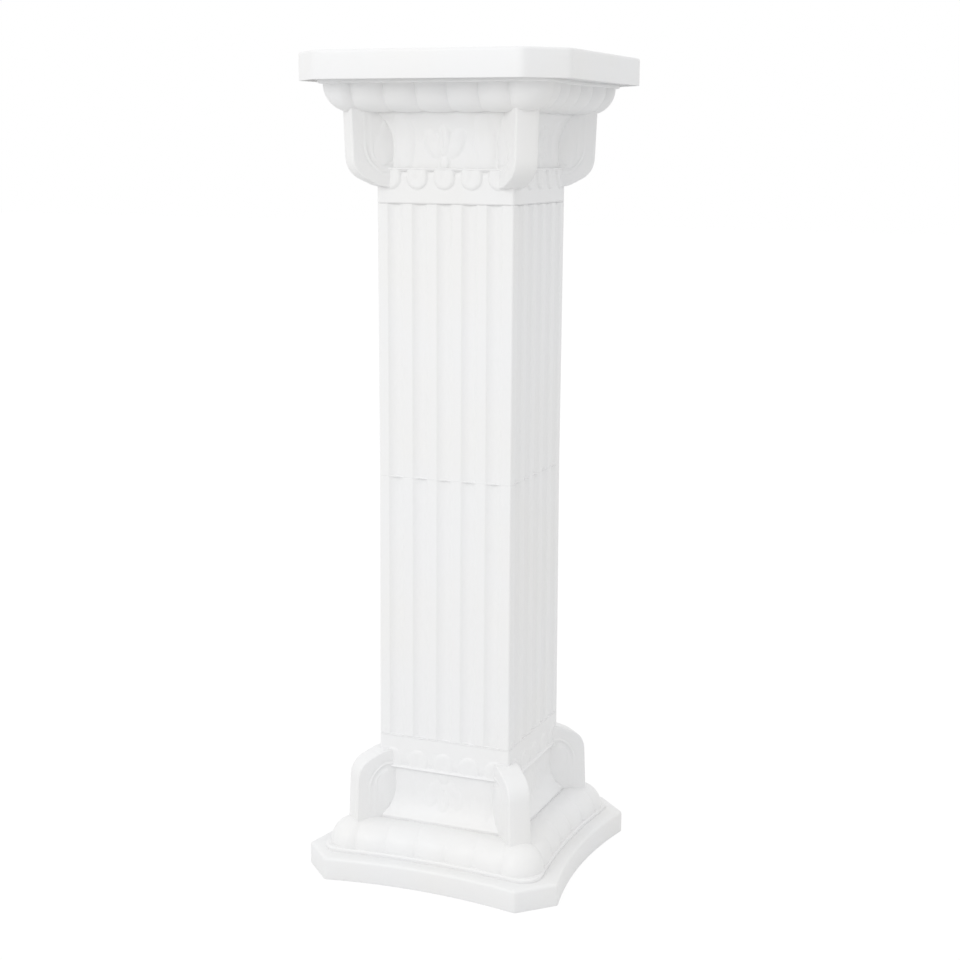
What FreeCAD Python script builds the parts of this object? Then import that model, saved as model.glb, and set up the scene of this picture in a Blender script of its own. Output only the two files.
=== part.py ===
import FreeCAD, Part
import os
import re
import Sketcher
from FreeCAD import Rotation, Vector

# Pedestal column stand: a moulded square column that comes apart into a base block, two fluted
# shaft sections, a capital block and a flat top lid, held in line by three joiner sleeves.
# Millimetres. +Z is up, the origin is the middle of the underside, and the front faces -Y.

doc = FreeCAD.newDocument("pedestal_column")

# Driving dimensions: alias, value, what it is.
SIZES = [
    ("block_height", 153.7, "end block, over its whole height"),
    ("shaft_length", 295.1, "one shaft section"),
    ("shaft_wide", 156.4, "shaft across its flats, at the end that meets a block"),
    ("shaft_narrow", 154.4, "shaft across its flats, at the middle seam"),
    ("shaft_corner", 3.0, "rounding of the shaft's upright corners"),
    ("shaft_wall", 2.4, "wall of a shaft section, the same behind its flutes"),
    ("flute_pitch", 28.4, "spacing of the flutes on a face"),
    ("flute_width", 18.0, "flute, across its mouth"),
    ("flute_depth", 3.3, "flute, at its deepest"),
    ("block_wall", 2.6, "wall of an end block"),
    ("plinth_width", 299.0, "plinth, across its corners' flats"),
    ("plinth_height", 25.6, "plinth, thickness"),
    ("plinth_cut", 36.5, "plinth, length taken off a side by each cut corner"),
    ("plinth_sag", 12.3, "plinth, how far a side draws in at its middle"),
    ("plinth_rim", 2.0, "plinth, blunting of its inner rim"),
    ("bead_width", 259.0, "bead that lies on the plinth"),
    ("bead_height", 4.6, "bead, thickness"),
    ("bead_corner", 20.0, "bead, corner radius"),
    ("bead_sag", 7.5, "bead, how far a side draws in at its middle"),
    ("lobe_line", 97.5, "middle line of the lobed moulding, from the axis, at a corner"),
    ("lobe_sag", 7.0, "how far that line draws in at the middle of a side"),
    ("lobe_reach", 30.0, "lobed moulding, how far it swells from that line"),
    ("lobe_rise", 29.0, "lobed moulding, how far it rises from the bead"),
    ("lobe_pitch", 35.0, "lobed moulding, spacing of its lobes"),
    ("bell_foot", 93.0, "foot of the flared bell, from the axis"),
    ("bell_half", 77.0, "upright part of the bell, from the axis"),
    ("bell_top", 92.0, "height at which the flare ends"),
    ("bell_flare", 46.3, "radius of the hollow flare"),
    ("ledge_height", 116.0, "underside of the ledge between bell and collar"),
    ("ledge_thick", 2.6, "ledge, thickness"),
    ("ledge_reach", 3.0, "ledge, how far it stands out from the collar"),
    ("tongue_pitch", 31.0, "spacing of the leaf tongues on the collar"),
    ("tongue_width", 23.0, "leaf tongue, width"),
    ("tongue_length", 20.5, "leaf tongue, from the ledge to its tip"),
    ("tongue_proud", 1.8, "leaf tongue, how far it stands out"),
    ("scroll_width", 26.0, "corner scroll, width of its band"),
    ("scroll_reach", 143.8, "corner scroll, from the axis to its face, at its foot"),
    ("scroll_neck", 140.4, "corner scroll, from the axis to its face, where it rolls over"),
    ("scroll_brow", 121.3, "corner scroll, height of that roll's corner"),
    ("scroll_crown", 135.6, "corner scroll, height where it meets the collar"),
    ("scroll_roll", 20.0, "corner scroll, radius of the roll"),
    ("scroll_foot", 55.0, "corner scroll, height where it stands on the lobes"),
    ("scroll_rim", 11.0, "corner scroll, breadth of the band round its sides"),
    ("scroll_sink", 1.5, "corner scroll, how far its sides lie under the band"),
    ("eye_place", 111.9, "eye of a scroll, from the axis"),
    ("eye_height", 95.0, "eye of a scroll, height of its middle"),
    ("eye_long", 25.3, "eye of a scroll, half its length"),
    ("leaf_height", 24.0, "half the height of the middle leaf of the bell's palmette"),
    ("leaf_width", 11.0, "half the width of that leaf"),
    ("leaf_proud", 2.2, "how far a leaf stands out"),
    ("leaf_spacing", 27.0, "from the middle leaf to a side leaf"),
    ("joiner_height", 60.0, "joiner sleeve, over its whole height"),
    ("joiner_wall", 2.0, "joiner sleeve, wall"),
    ("joiner_corner", 8.0, "joiner sleeve, corner radius"),
    ("joiner_gap", 0.5, "clearance all round a joiner sleeve"),
    ("flange_height", 3.0, "flange round a joiner's middle"),
    ("flange_reach", 1.5, "flange, how far it stands out from the sleeve"),
    ("seat_gap", 0.3, "clearance all round the flange in its seat"),
    ("rib_thick", 2.2, "locating rib inside a collar, thickness"),
    ("rib_place", 42.6, "locating rib, from the middle of the side"),
    ("lid_sheet", 2.4, "lid, thickness of its flat top"),
    ("lid_wall", 1.9, "lid, wall of its skirt"),
    ("lid_gap", 0.6, "clearance between the skirt and the block inside it"),
    ("lid_skirt", 29.6, "lid, over its whole height"),
    ("lid_round", 1.6, "lid, rounding of its top edge"),
    ("lid_rib_depth", 8.0, "stiffening rib under the lid, depth"),
    ("lid_rib_pitch", 64.0, "stiffening ribs under the lid, spacing"),
]
sheet = doc.addObject("Spreadsheet::Sheet", "sizes")
for row, (alias, value, meaning) in enumerate(SIZES, start=1):
    sheet.set(f"A{row}", meaning)
    sheet.set(f"B{row}", str(value))
    sheet.setAlias(f"B{row}", alias)
doc.recompute()
ALIAS = re.compile(r"\b(" + "|".join(alias for alias, _, _ in SIZES) + r")\b")

SIDES = range(4)
PLACES = range(-2, 3)            # five in a row, counted from the middle of a side
NEAR = 1e-3                     # places closer together than this are the same
THROUGH = 2.0                   # how far a cutting shape runs past the face it opens
JOIN = 1.0                      # how far shapes run into each other where they join
ROOT = 12.0                     # how far a scroll's root lies inside the bell
SMALLER = 0.85                  # a palmette's side leaf, as a share of its middle one
MITRE = "0.5858"                # a 45 degree corner cut's leg changes by this share of an offset
DIAGONAL = "0.7071"             # a square's middle to its corner, as a share of its width
UPRIGHT = Rotation(Vector(1, 0, 0), 90)      # turns a wedge's Y to +Z
ALONG_X = Rotation(Vector(0, 1, 0), 90)      # turns a cylinder's axis to +X


def measure(expression):
    """The present value of an expression in the sheet's names."""
    return float(sheet.evalExpression(expression))


def bind(thing, prop, expression):
    """Ties a property to an expression in the sheet's names."""
    thing.setExpression(prop, re.sub(ALIAS, r"sizes.\1", expression))


def place(thing, at=("0", "0", "0"), turn=None):
    """Turns a feature and ties its place to three expressions."""
    if turn is not None:
        thing.Placement = FreeCAD.Placement(Vector(), turn)
    for axis, expression in zip("xyz", at):
        bind(thing, "Placement.Base." + axis, expression)


def new_body(name):
    return doc.addObject("PartDesign::Body", name)


def origin(body, role):
    """The plane or axis of a body's own origin that has this role."""
    return next(item for item in body.Origin.OriginFeatures if item.Role == role)


def primitive(body, kind, name, at=("0", "0", "0"), turn=None, **lengths):
    """A PartDesign primitive with its lengths and place tied to expressions."""
    feature = body.newObject("PartDesign::" + kind, name)
    feature.Refine = False
    for prop, expression in lengths.items():
        bind(feature, prop, expression)
    place(feature, at, turn)
    return feature


def solid(kind, name, at=("0", "0", "0"), turn=None, **lengths):
    """A free-standing primitive with its lengths and place tied to expressions."""
    thing = doc.addObject("Part::" + kind, name)
    for prop, expression in lengths.items():
        bind(thing, prop, expression)
    place(thing, at, turn)
    return thing


def square_solid(name, half, low, high):
    """A free-standing square block about the axis, from one height to another."""
    return solid("Box", name, (f"-({half})", f"-({half})", low), Length=f"2 * ({half})",
                 Width=f"2 * ({half})", Height=f"{high} - ({low})")


def square_block(body, name, half, low, high):
    """A square block about the axis, from one height to another."""
    return primitive(body, "AdditiveBox", name, (f"-({half})", f"-({half})", low),
                     Length=f"2 * ({half})", Width=f"2 * ({half})", Height=f"{high} - ({low})")


def around(body, name, originals):
    """Repeats features on all four sides."""
    pattern = body.newObject("PartDesign::PolarPattern", name)
    pattern.Originals = originals
    pattern.Axis = (origin(body, "Z_Axis"), [""])
    pattern.Angle = 360
    pattern.Occurrences = len(SIDES)
    pattern.Refine = False
    body.Tip = pattern
    return pattern


def upright_edges(shape):
    """Names of the straight edges that run up or nearly up."""
    found = []
    for number, edge in enumerate(shape.Edges, start=1):
        rise = edge.Vertexes[-1].Point - edge.Vertexes[0].Point
        if rise.Length > 0 and abs(rise.z) > 0.95 * rise.Length:
            found.append(f"Edge{number}")
    return found


def level_edges(shape, height):
    """Names of the edges that lie at one height."""
    return [f"Edge{number}" for number, edge in enumerate(shape.Edges, start=1)
            if abs(edge.BoundBox.ZMin - height) < NEAR and abs(edge.BoundBox.ZMax - height) < NEAR]


def fillet(body, name, edges, radius):
    """Rounds edges of the body's present shape."""
    base = body.Tip
    rounding = body.newObject("PartDesign::Fillet", name)
    rounding.Base = (base, edges)
    bind(rounding, "Radius", radius)
    return rounding


def blunt(body, name, edges, breadth):
    """Takes edges of the body's present shape off at 45 degrees."""
    base = body.Tip
    bevel = body.newObject("PartDesign::Chamfer", name)
    bevel.Base = (base, edges)
    bind(bevel, "Size", breadth)
    return bevel


def turned(across, out, side):
    """The two level expressions of a place on the front, carried to another side."""
    return [(across, f"-({out})"), (out, across), (f"-({across})", out),
            (f"-({out})", f"-({across})")][side]


def drawn_square(body, name, half, cut, sag, low, rounded=False):
    """Sketch of a square whose sides draw in as arcs. Its corners are cut off or rounded."""
    sketch = body.newObject("Sketcher::SketchObject", name)
    sketch.AttachmentSupport = [(origin(body, "XY_Plane"), "")]
    sketch.MapMode = "FlatFace"
    bind(sketch, "AttachmentOffset.Base.z", low)
    a, c, s = measure(half), measure(cut), measure(sag)
    span = a - c
    side_radius = (span ** 2 + s ** 2) / (2 * s)
    for side in SIDES:
        turn = Rotation(Vector(0, 0, 1), 90 * side)
        start, middle, end = (turn.multVec(Vector(x, y, 0))
                              for x, y in ((-span, -a), (0, -a + s), (span, -a)))
        sketch.addGeometry(Part.Arc(start, middle, end), False)
        after = turn.multVec(Vector(a, -span, 0))
        if rounded:
            bulge = turn.multVec(Vector(span + c / 2 ** 0.5, -span - c / 2 ** 0.5, 0))
            sketch.addGeometry(Part.Arc(end, bulge, after), False)
        else:
            sketch.addGeometry(Part.LineSegment(end, after), False)
    count = 2 * len(SIDES)
    for side in SIDES:
        # A hollow arc is stored anticlockwise, so its ends are the other way round.
        arc, corner, following = 2 * side, 2 * side + 1, (2 * side + 2) % count
        arc_start, arc_end = 2, 1
        sketch.addConstraint(Sketcher.Constraint("Coincident", arc, arc_end, corner, 1))
        sketch.addConstraint(Sketcher.Constraint("Coincident", corner, 2, following, arc_start))
        ends = [(arc, arc_start, turned(f"-({half} - ({cut}))", half, side)),
                (arc, arc_end, turned(f"{half} - ({cut})", half, side))]
        for curve, point, (x, y) in ends:
            for kind, expression in (("DistanceX", x), ("DistanceY", y)):
                number = sketch.addConstraint(
                    Sketcher.Constraint(kind, curve, point, measure(expression)))
                bind(sketch, f"Constraints[{number}]", expression)
        number = sketch.addConstraint(Sketcher.Constraint("Radius", arc, side_radius))
        bind(sketch, f"Constraints[{number}]",
             f"(({half} - ({cut})) ^ 2 + ({sag}) ^ 2) / (2 * ({sag}))")
        if rounded:
            number = sketch.addConstraint(Sketcher.Constraint("Radius", corner, c))
            bind(sketch, f"Constraints[{number}]", cut)
    return sketch


def polygon(body, name, plane, points):
    """Sketch of a closed outline of straight lines through corners given as expressions."""
    sketch = body.newObject("Sketcher::SketchObject", name)
    sketch.AttachmentSupport = [(origin(body, plane), "")]
    sketch.MapMode = "FlatFace"
    corners = [Vector(measure(x), measure(y), 0) for x, y in points]
    for number, corner in enumerate(corners):
        sketch.addGeometry(Part.LineSegment(corner, corners[(number + 1) % len(corners)]), False)
    for number, (x, y) in enumerate(points):
        sketch.addConstraint(
            Sketcher.Constraint("Coincident", number, 2, (number + 1) % len(points), 1))
        for kind, expression in (("DistanceX", x), ("DistanceY", y)):
            constraint = sketch.addConstraint(
                Sketcher.Constraint(kind, number, 1, measure(expression)))
            bind(sketch, f"Constraints[{constraint}]", expression)
    return sketch


def cut_square(body, name, half, cut, low):
    """Sketch of a square with its corners cut off straight."""
    span = f"{half} - ({cut})"
    points = []
    for side in SIDES:
        points += [turned(f"-({span})", half, side), turned(span, half, side)]
    sketch = polygon(body, name, "XY_Plane", points)
    bind(sketch, "AttachmentOffset.Base.z", low)
    return sketch


def pad(body, name, sketch, length, midplane=False):
    feature = body.newObject("PartDesign::Pad", name)
    feature.Profile = sketch
    feature.Midplane = midplane
    bind(feature, "Length", length)
    return feature


def pocket(body, name, sketch, length, upward=False):
    """Cuts a sketch's outline away, downwards from its plane unless told upwards."""
    feature = body.newObject("PartDesign::Pocket", name)
    feature.Profile = sketch
    feature.Reversed = upward
    bind(feature, "Length", length)
    return feature


# ---- End block ------------------------------------------------------------------------------
# One hollow moulding serves at both ends: plinth, bead, lobed moulding, flared bell with corner
# scrolls, ledge and collar. Its core is the same form drawn in by the wall.


def scroll_outline(body, name, inset):
    """Sketch of a scroll from the side: out along the foot, up the face and over the roll."""
    return polygon(body, name, "XZ_Plane", [
        (f"bell_half - {ROOT}", "scroll_foot"),
        (f"scroll_reach - ({inset})", "scroll_foot"),
        (f"scroll_neck - ({inset})", f"scroll_brow - ({inset}) / 2"),
        (f"shaft_wide * {DIAGONAL} - ({inset})", f"scroll_crown - ({inset})"),
        (f"bell_half - {ROOT}", f"scroll_crown - ({inset})"),
    ])


def scroll_part(name, width, inset, roll):
    """One scroll, lying along +X, with its roll rounded."""
    body = new_body(name)
    pad(body, name + "_pad", scroll_outline(body, name + "_outline", inset), width, midplane=True)
    doc.recompute()
    brow = Vector(measure(f"scroll_neck - ({inset})"), 0,
                  measure(f"scroll_brow - ({inset}) / 2"))
    edges = [f"Edge{number}" for number, edge in enumerate(body.Shape.Edges, start=1)
             if (edge.CenterOfMass - brow).Length < NEAR]
    fillet(body, name + "_roll", edges, roll)
    return body


def fuse(name, things):
    joined = doc.addObject("Part::MultiFuse", name)
    joined.Shapes = things
    joined.Refine = False
    return joined


def four_turned(name, thing, first_angle):
    """Four copies of a thing, a quarter turn apart, as one compound."""
    copies = []
    for side in SIDES:
        copy = doc.addObject("Part::Compound", f"{name}_{side}")
        copy.Links = [thing]
        copy.Placement = FreeCAD.Placement(
            Vector(), Rotation(Vector(0, 0, 1), first_angle + 90 * side))
        copies.append(copy)
    return copies


def lobed_side(name, inset):
    """One side's row of lobes, with the round corner lobe at its right."""
    spring = "plinth_height + bead_height"
    lobes = [solid("Sphere", name + "_corner", ("lobe_line", "-lobe_line", spring),
                   Radius=f"lobe_reach - {inset}")]
    for lobe in PLACES:
        line = f"lobe_line - lobe_sag * (1 - ({lobe} * lobe_pitch / lobe_line) ^ 2)"
        lobes.append(solid("Ellipsoid", f"{name}_{lobe + 2}",
                           (f"{lobe} * lobe_pitch", f"-({line})", spring),
                           Radius1=f"lobe_rise - {inset}", Radius2="lobe_pitch",
                           Radius3=f"lobe_reach - {inset}"))
    return fuse(name, lobes)


def block_form(name, inset, outside):
    """The end block's outer form, or its core, which is drawn in by the wall."""
    low = "0" if outside else f"-{THROUGH}"
    foot = new_body(name + "_foot")
    plinth = drawn_square(foot, name + "_plinth_plan", f"(plinth_width / 2 - {inset})",
                          f"(plinth_cut - {MITRE} * {inset})", "plinth_sag", low)
    pad(foot, name + "_plinth", plinth, f"plinth_height - {inset} - ({low})")
    if outside:
        doc.recompute()
        blunt(foot, name + "_plinth_rim", level_edges(foot.Shape, measure("plinth_height")),
              "plinth_rim")
        bead = drawn_square(foot, name + "_bead_plan", "(bead_width / 2)", "bead_corner",
                            "bead_sag", f"plinth_height - {JOIN}", rounded=True)
        pad(foot, name + "_bead", bead, f"bead_height + {JOIN}")
    middle = square_solid(name + "_middle", f"lobe_line - lobe_sag - {inset}",
                          "(plinth_height - 2 * block_wall)",
                          "bell_top - bell_flare + 2 * block_wall")
    bell = new_body(name + "_bell")
    square_block(bell, name + "_flare", f"bell_foot - {inset}", "bell_top - bell_flare",
                 "bell_top")
    hollow = primitive(bell, "SubtractiveCylinder", name + "_flare_hollow",
                       ("-plinth_width", "-(bell_half + bell_flare)", "bell_top"), ALONG_X,
                       Radius=f"bell_flare + {inset}", Height="2 * plinth_width")
    around(bell, name + "_flare_hollows", [hollow])
    square_block(bell, name + "_panels", f"bell_half - {inset}", "bell_top",
                 "ledge_height + ledge_thick")
    collar = new_body(name + "_collar")
    square_block(collar, name + "_collar_block", f"shaft_wide / 2 - {inset}",
                 "(ledge_height + ledge_thick / 2)",
                 "block_height" if outside else f"block_height + {THROUGH}")
    if outside:
        doc.recompute()
        fillet(collar, name + "_collar_corners", upright_edges(collar.Shape), "shaft_corner")
    scroll = scroll_part(name + "_scroll", f"scroll_width - 2 * scroll_sink - 2 * {inset}",
                         inset, f"scroll_roll - {inset}")
    pieces = [foot, middle, bell, collar]
    pieces += four_turned(name + "_lobes_at", lobed_side(name + "_lobes", inset), 0)
    pieces += four_turned(name + "_scroll_at", scroll, 45)
    if outside:
        pieces += ornaments()
    return fuse(name, pieces)


def ornaments():
    """Ledge, scroll bands and eyes, leaf tongues and palmettes of the end block."""
    ledge = square_solid("ledge", "shaft_wide / 2 + ledge_reach", "ledge_height",
                         "ledge_height + ledge_thick")
    band = scroll_part("scroll_band", "scroll_width", "0", "scroll_roll")
    within = scroll_part("scroll_within_band", f"scroll_width + {THROUGH}", "scroll_rim",
                         "scroll_roll - scroll_rim")
    hoop = doc.addObject("Part::Cut", "scroll_hoop")
    hoop.Base, hoop.Tool = band, within
    eye = solid("Ellipsoid", "scroll_eye", ("eye_place", "0", "eye_height"),
                Radius1="eye_long", Radius2="scroll_rim", Radius3=f"scroll_width / 2 + {JOIN}")
    relief = []
    face = "-(shaft_wide / 2 + tongue_proud)"
    for number in PLACES:
        across = f"{number} * tongue_pitch"
        stem = "tongue_length - tongue_width / 2"
        relief.append(solid("Box", f"tongue_stem_{number + 2}",
                            (f"{across} - tongue_width / 2", face, f"ledge_height + {JOIN}"),
                            Length="tongue_width", Width=f"tongue_proud + {JOIN}",
                            Height=f"{stem} + ledge_thick - {JOIN}"))
        relief.append(solid("Cylinder", f"tongue_tip_{number + 2}",
                            (across, f"{JOIN} - shaft_wide / 2",
                             f"ledge_height + ledge_thick + {stem}"),
                            UPRIGHT, Radius="tongue_width / 2", Height=f"tongue_proud + {JOIN}"))
    for number, scale in ((-1, SMALLER), (0, 1), (1, SMALLER)):
        relief.append(solid("Ellipsoid", f"palmette_leaf_{number + 1}",
                            (f"{number} * leaf_spacing", f"{JOIN} - bell_half",
                             f"ledge_height - leaf_height * {scale} + {JOIN}"),
                            Radius1=f"leaf_height * {scale}", Radius2=f"leaf_width * {scale}",
                            Radius3=f"leaf_proud + {JOIN}"))
    side = fuse("relief_side", relief)
    return ([ledge] + four_turned("scroll_hoop_at", hoop, 45)
            + four_turned("scroll_eye_at", eye, 45) + four_turned("relief_at", side, 0))


def locating_ribs():
    """Upright ribs inside the collar that centre a joiner and carry its flange."""
    ribs = []
    bore = "shaft_wide / 2 - flute_depth - shaft_wall"
    for side in SIDES:
        for mark, sign in (("left", "-1"), ("right", "1")):
            x, y = turned(f"{sign} * rib_place - rib_thick / 2",
                          f"shaft_wide / 2 - block_wall + {JOIN}", side)
            rib = solid("Box", f"locating_rib_{mark}_{side}",
                        (x, y, "block_height - joiner_height / 2"),
                        Rotation(Vector(0, 0, 1), 90 * side), Length="rib_thick",
                        Width=f"shaft_wide / 2 - block_wall + {JOIN} - ({bore})",
                        Height="joiner_height / 2 - flange_height / 2")
            ribs.append(rib)
    return ribs


def end_block():
    """Outer form less core, with the collar's locating ribs inside."""
    shell = doc.addObject("Part::Cut", "block_shell")
    shell.Base = block_form("block_outside", "0", outside=True)
    shell.Tool = block_form("block_core", "block_wall", outside=False)
    return fuse("base_block", [shell] + locating_ribs())


# ---- Shaft section --------------------------------------------------------------------------
# A fluted square tube, a little narrower at the end that meets the other section.


def tapered_square(body, name, inset, overrun):
    """A square block that narrows upwards, past both ends of the section by overrun."""
    slope = "(shaft_wide - shaft_narrow) / 2 / shaft_length"
    low = f"shaft_wide / 2 - {inset} + {slope} * {overrun}"
    high = f"shaft_narrow / 2 - {inset} - {slope} * {overrun}"
    return primitive(body, "AdditiveWedge", name, ("0", "0", f"block_height - {overrun}"), UPRIGHT,
                     Xmin=f"-({low})", Xmax=low, Zmin=f"-({low})", Zmax=low,
                     X2min=f"-({high})", X2max=high, Z2min=f"-({high})", Z2max=high,
                     Ymin="0", Ymax=f"shaft_length + 2 * {overrun}")


def flutes(body, name, thicker):
    """Five leaning round cutters on each side, larger than the flutes by a given thickness."""
    slope = "(shaft_wide - shaft_narrow) / 2 / shaft_length"
    arc = "((flute_width / 2) ^ 2 + flute_depth ^ 2) / (2 * flute_depth)"
    run = 5 * THROUGH
    middle_line = f"shaft_wide / 2 - flute_depth + {arc} + {run} * {slope}"
    cutters = []
    for flute in PLACES:
        cutter = primitive(body, "SubtractiveCylinder", f"{name}_{flute + 2}",
                           (f"{flute} * flute_pitch", f"-({middle_line})",
                            f"block_height - {run}"), Rotation(Vector(1, 0, 0), 1),
                           Radius=f"{arc} + {thicker}", Height=f"shaft_length + 2 * {run}")
        bind(cutter, "Placement.Rotation.Angle", f"-atan({slope})")
        cutters.append(cutter)
    around(body, name + "_round", cutters)


def shaft_section():
    outside = new_body("shaft_outside")
    tapered_square(outside, "shaft_prism", "0", "0")
    doc.recompute()
    fillet(outside, "shaft_corners", upright_edges(outside.Shape), "shaft_corner")
    flutes(outside, "flute", "0")
    core = new_body("shaft_core")
    tapered_square(core, "shaft_bore", "shaft_wall", str(THROUGH))
    flutes(core, "flute_back", "shaft_wall")
    seats = []
    for name, width, low in (("wide_seat", "shaft_wide", f"block_height - {THROUGH}"),
                             ("narrow_seat", "shaft_narrow",
                              "block_height + shaft_length - flange_height / 2")):
        half = f"{width} / 2 - flute_depth - shaft_wall - joiner_gap + flange_reach + seat_gap"
        seats.append(square_solid(name, half, low, f"({low} + flange_height / 2 + {THROUGH})"))
    hollow = fuse("shaft_hollow", [core] + seats)
    section = doc.addObject("Part::Cut", "lower_shaft")
    section.Base, section.Tool = outside, hollow
    return section


# ---- Joiner sleeves -------------------------------------------------------------------------


def joiner(name, width, seam):
    """A square sleeve with a flange round its middle, centred on a seam."""
    half = f"{width} / 2 - flute_depth - shaft_wall - joiner_gap"
    outside = new_body(name + "_outside")
    square_block(outside, name + "_sleeve", half, f"{seam} - joiner_height / 2",
                 f"{seam} + joiner_height / 2")
    square_block(outside, name + "_flange", f"{half} + flange_reach",
                 f"{seam} - flange_height / 2", f"{seam} + flange_height / 2")
    bore = new_body(name + "_bore")
    square_block(bore, name + "_hollow", f"{half} - joiner_wall",
                 f"{seam} - joiner_height / 2 - {THROUGH}",
                 f"{seam} + joiner_height / 2 + {THROUGH}")
    doc.recompute()
    fillet(outside, name + "_corners", upright_edges(outside.Shape), "joiner_corner")
    fillet(bore, name + "_hollow_corners", upright_edges(bore.Shape),
           "joiner_corner - joiner_wall")
    sleeve = doc.addObject("Part::Cut", name)
    sleeve.Base, sleeve.Tool = outside, bore
    return sleeve


# ---- Top lid --------------------------------------------------------------------------------


def top_lid():
    """A flat tray turned over: a sheet, a skirt round the capital's plinth and ribs under it."""
    body = new_body("top_lid")
    top = "2 * block_height + 2 * shaft_length + lid_sheet"
    half = "plinth_width / 2 + lid_gap + lid_wall"
    outer = cut_square(body, "lid_plan", half, f"plinth_cut + {MITRE} * (lid_gap + lid_wall)",
                       f"{top} - lid_skirt")
    pad(body, "lid_block", outer, "lid_skirt")
    doc.recompute()
    fillet(body, "lid_rim", level_edges(body.Shape, measure(top)), "lid_round")
    inner = cut_square(body, "lid_hollow_plan", f"{half} - lid_wall",
                       f"plinth_cut + {MITRE} * lid_gap", f"{top} - lid_skirt")
    pocket(body, "lid_hollow", inner, "lid_skirt - lid_sheet", upward=True)
    reach = "plinth_width / 2 - plinth_sag - block_wall - 2 * lid_gap"
    for number in range(-1, 2):
        for mark, turn in (("along", 0), ("across", 1)):
            rib_low = f"{top} - lid_sheet - lid_rib_depth"
            spread, long = f"{number} * lid_rib_pitch - lid_wall / 2", f"-({reach})"
            at = (long, spread) if turn else (spread, long)
            length, width = (f"2 * ({reach})", "lid_wall") if turn else ("lid_wall",
                                                                         f"2 * ({reach})")
            primitive(body, "AdditiveBox", f"lid_rib_{mark}_{number + 1}", (*at, rib_low),
                      Length=length, Width=width, Height="lid_rib_depth + lid_sheet / 2")
    return body


def turned_over(name, thing):
    """The same moulding the other way up: a mirror image across the middle seam, which its own
    left and right halves make the same as the piece turned over."""
    copy = doc.addObject("Part::Mirroring", name)
    copy.Source = thing
    copy.Normal = Vector(0, 0, 1)
    bind(copy, "Base.z", "block_height + shaft_length")
    return copy


# ---- The assembly ---------------------------------------------------------------------------

base_block = end_block()
lower_shaft = shaft_section()
MIDDLE_SEAM = "block_height + shaft_length"
joiner("base_joiner", "shaft_wide", "block_height")
joiner("middle_joiner", "shaft_narrow", f"({MIDDLE_SEAM})")
top_lid()
turned_over("capital_block", base_block)
turned_over("upper_shaft", lower_shaft)
turned_over("capital_joiner", doc.getObject("base_joiner"))
doc.recompute()

NODES = ["base_block", "base_joiner", "lower_shaft", "middle_joiner", "upper_shaft",
         "capital_joiner", "capital_block", "top_lid"]

for thing in doc.Objects:
    if "Invalid" in thing.State or "Error" in thing.State:
        raise RuntimeError(f"{thing.Name} did not build: {thing.State}")
for node in NODES:
    shape = doc.getObject(node).Shape
    if shape.isNull() or not shape.isValid() or len(shape.Solids) != 1:
        raise RuntimeError(f"{node} is not one sound solid")

os.makedirs("parts", exist_ok=True)
for node in NODES:
    piece = doc.getObject(node)
    piece.Label = node
    piece.Shape.exportStep(f"parts/{node}.step")
    box = piece.Shape.BoundBox
    print(f"{node}: {box.XLength:.1f} x {box.YLength:.1f} x {box.ZLength:.1f} mm from z "
          f"{box.ZMin:.1f}, {piece.Shape.Volume / 1000:.1f} cm3")
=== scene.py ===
# %% [markdown]
# # A fluted pedestal column
# The real column is white moulded plastic: a flared base block, two fluted shaft sections, the
# base block again upside down as a capital, and a flat lid. The frame loaded here is the CAD
# model in metres. Its nodes fix every place and size, and this script makes what the eye sees.

# %% Load the frame
import bpy
import numpy as np
from mathutils import Matrix, Vector


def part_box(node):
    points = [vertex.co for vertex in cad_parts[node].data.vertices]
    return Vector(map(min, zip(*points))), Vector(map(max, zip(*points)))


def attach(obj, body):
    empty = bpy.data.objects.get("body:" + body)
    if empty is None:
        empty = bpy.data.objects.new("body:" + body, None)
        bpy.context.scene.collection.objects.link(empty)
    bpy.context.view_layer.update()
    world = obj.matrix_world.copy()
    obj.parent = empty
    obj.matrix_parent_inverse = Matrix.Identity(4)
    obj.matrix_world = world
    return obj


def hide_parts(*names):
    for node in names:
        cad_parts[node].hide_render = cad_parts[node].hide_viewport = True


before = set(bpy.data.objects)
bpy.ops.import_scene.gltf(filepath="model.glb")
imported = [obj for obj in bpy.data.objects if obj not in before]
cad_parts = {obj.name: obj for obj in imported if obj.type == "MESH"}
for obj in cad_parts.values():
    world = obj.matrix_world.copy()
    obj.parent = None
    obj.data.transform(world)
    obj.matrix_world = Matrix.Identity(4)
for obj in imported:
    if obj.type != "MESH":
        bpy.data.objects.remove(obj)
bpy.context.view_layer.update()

MM = 0.001


def node_box(node):
    """Lowest and highest corner of a CAD node, in millimetres."""
    return tuple(np.array(corner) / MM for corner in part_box(node))


BLOCK_HIGH = node_box("base_block")[1]
SHAFT_LOW, SHAFT_HIGH = node_box("lower_shaft")
LID_LOW, LID_HIGH = node_box("top_lid")
TOP = node_box("capital_block")[1][2]
print("block", BLOCK_HIGH, "shaft", SHAFT_HIGH, "lid", LID_LOW, LID_HIGH)

# %% [markdown]
# ## From arrays to meshes
# Every piece is worked out in millimetres as an array of points, row by column. A moulded wall
# is a closed loop of rows carried round the column, so its grid closes on itself both ways and
# has no open edge. Which way the faces point is settled by the sign of the volume they enclose,
# which also rights the capital, because it is the base's points turned upside down.

# %% Grids of quads


def closed_grid(rows, columns):
    """Quads of a grid that joins on to itself in both directions."""
    row, column = np.meshgrid(np.arange(rows), np.arange(columns), indexing="ij")
    below, beside = (row + 1) % rows, (column + 1) % columns
    corners = [row * columns + column, row * columns + beside,
               below * columns + beside, below * columns + column]
    return np.stack(corners, -1).reshape(-1, 4)


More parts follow.
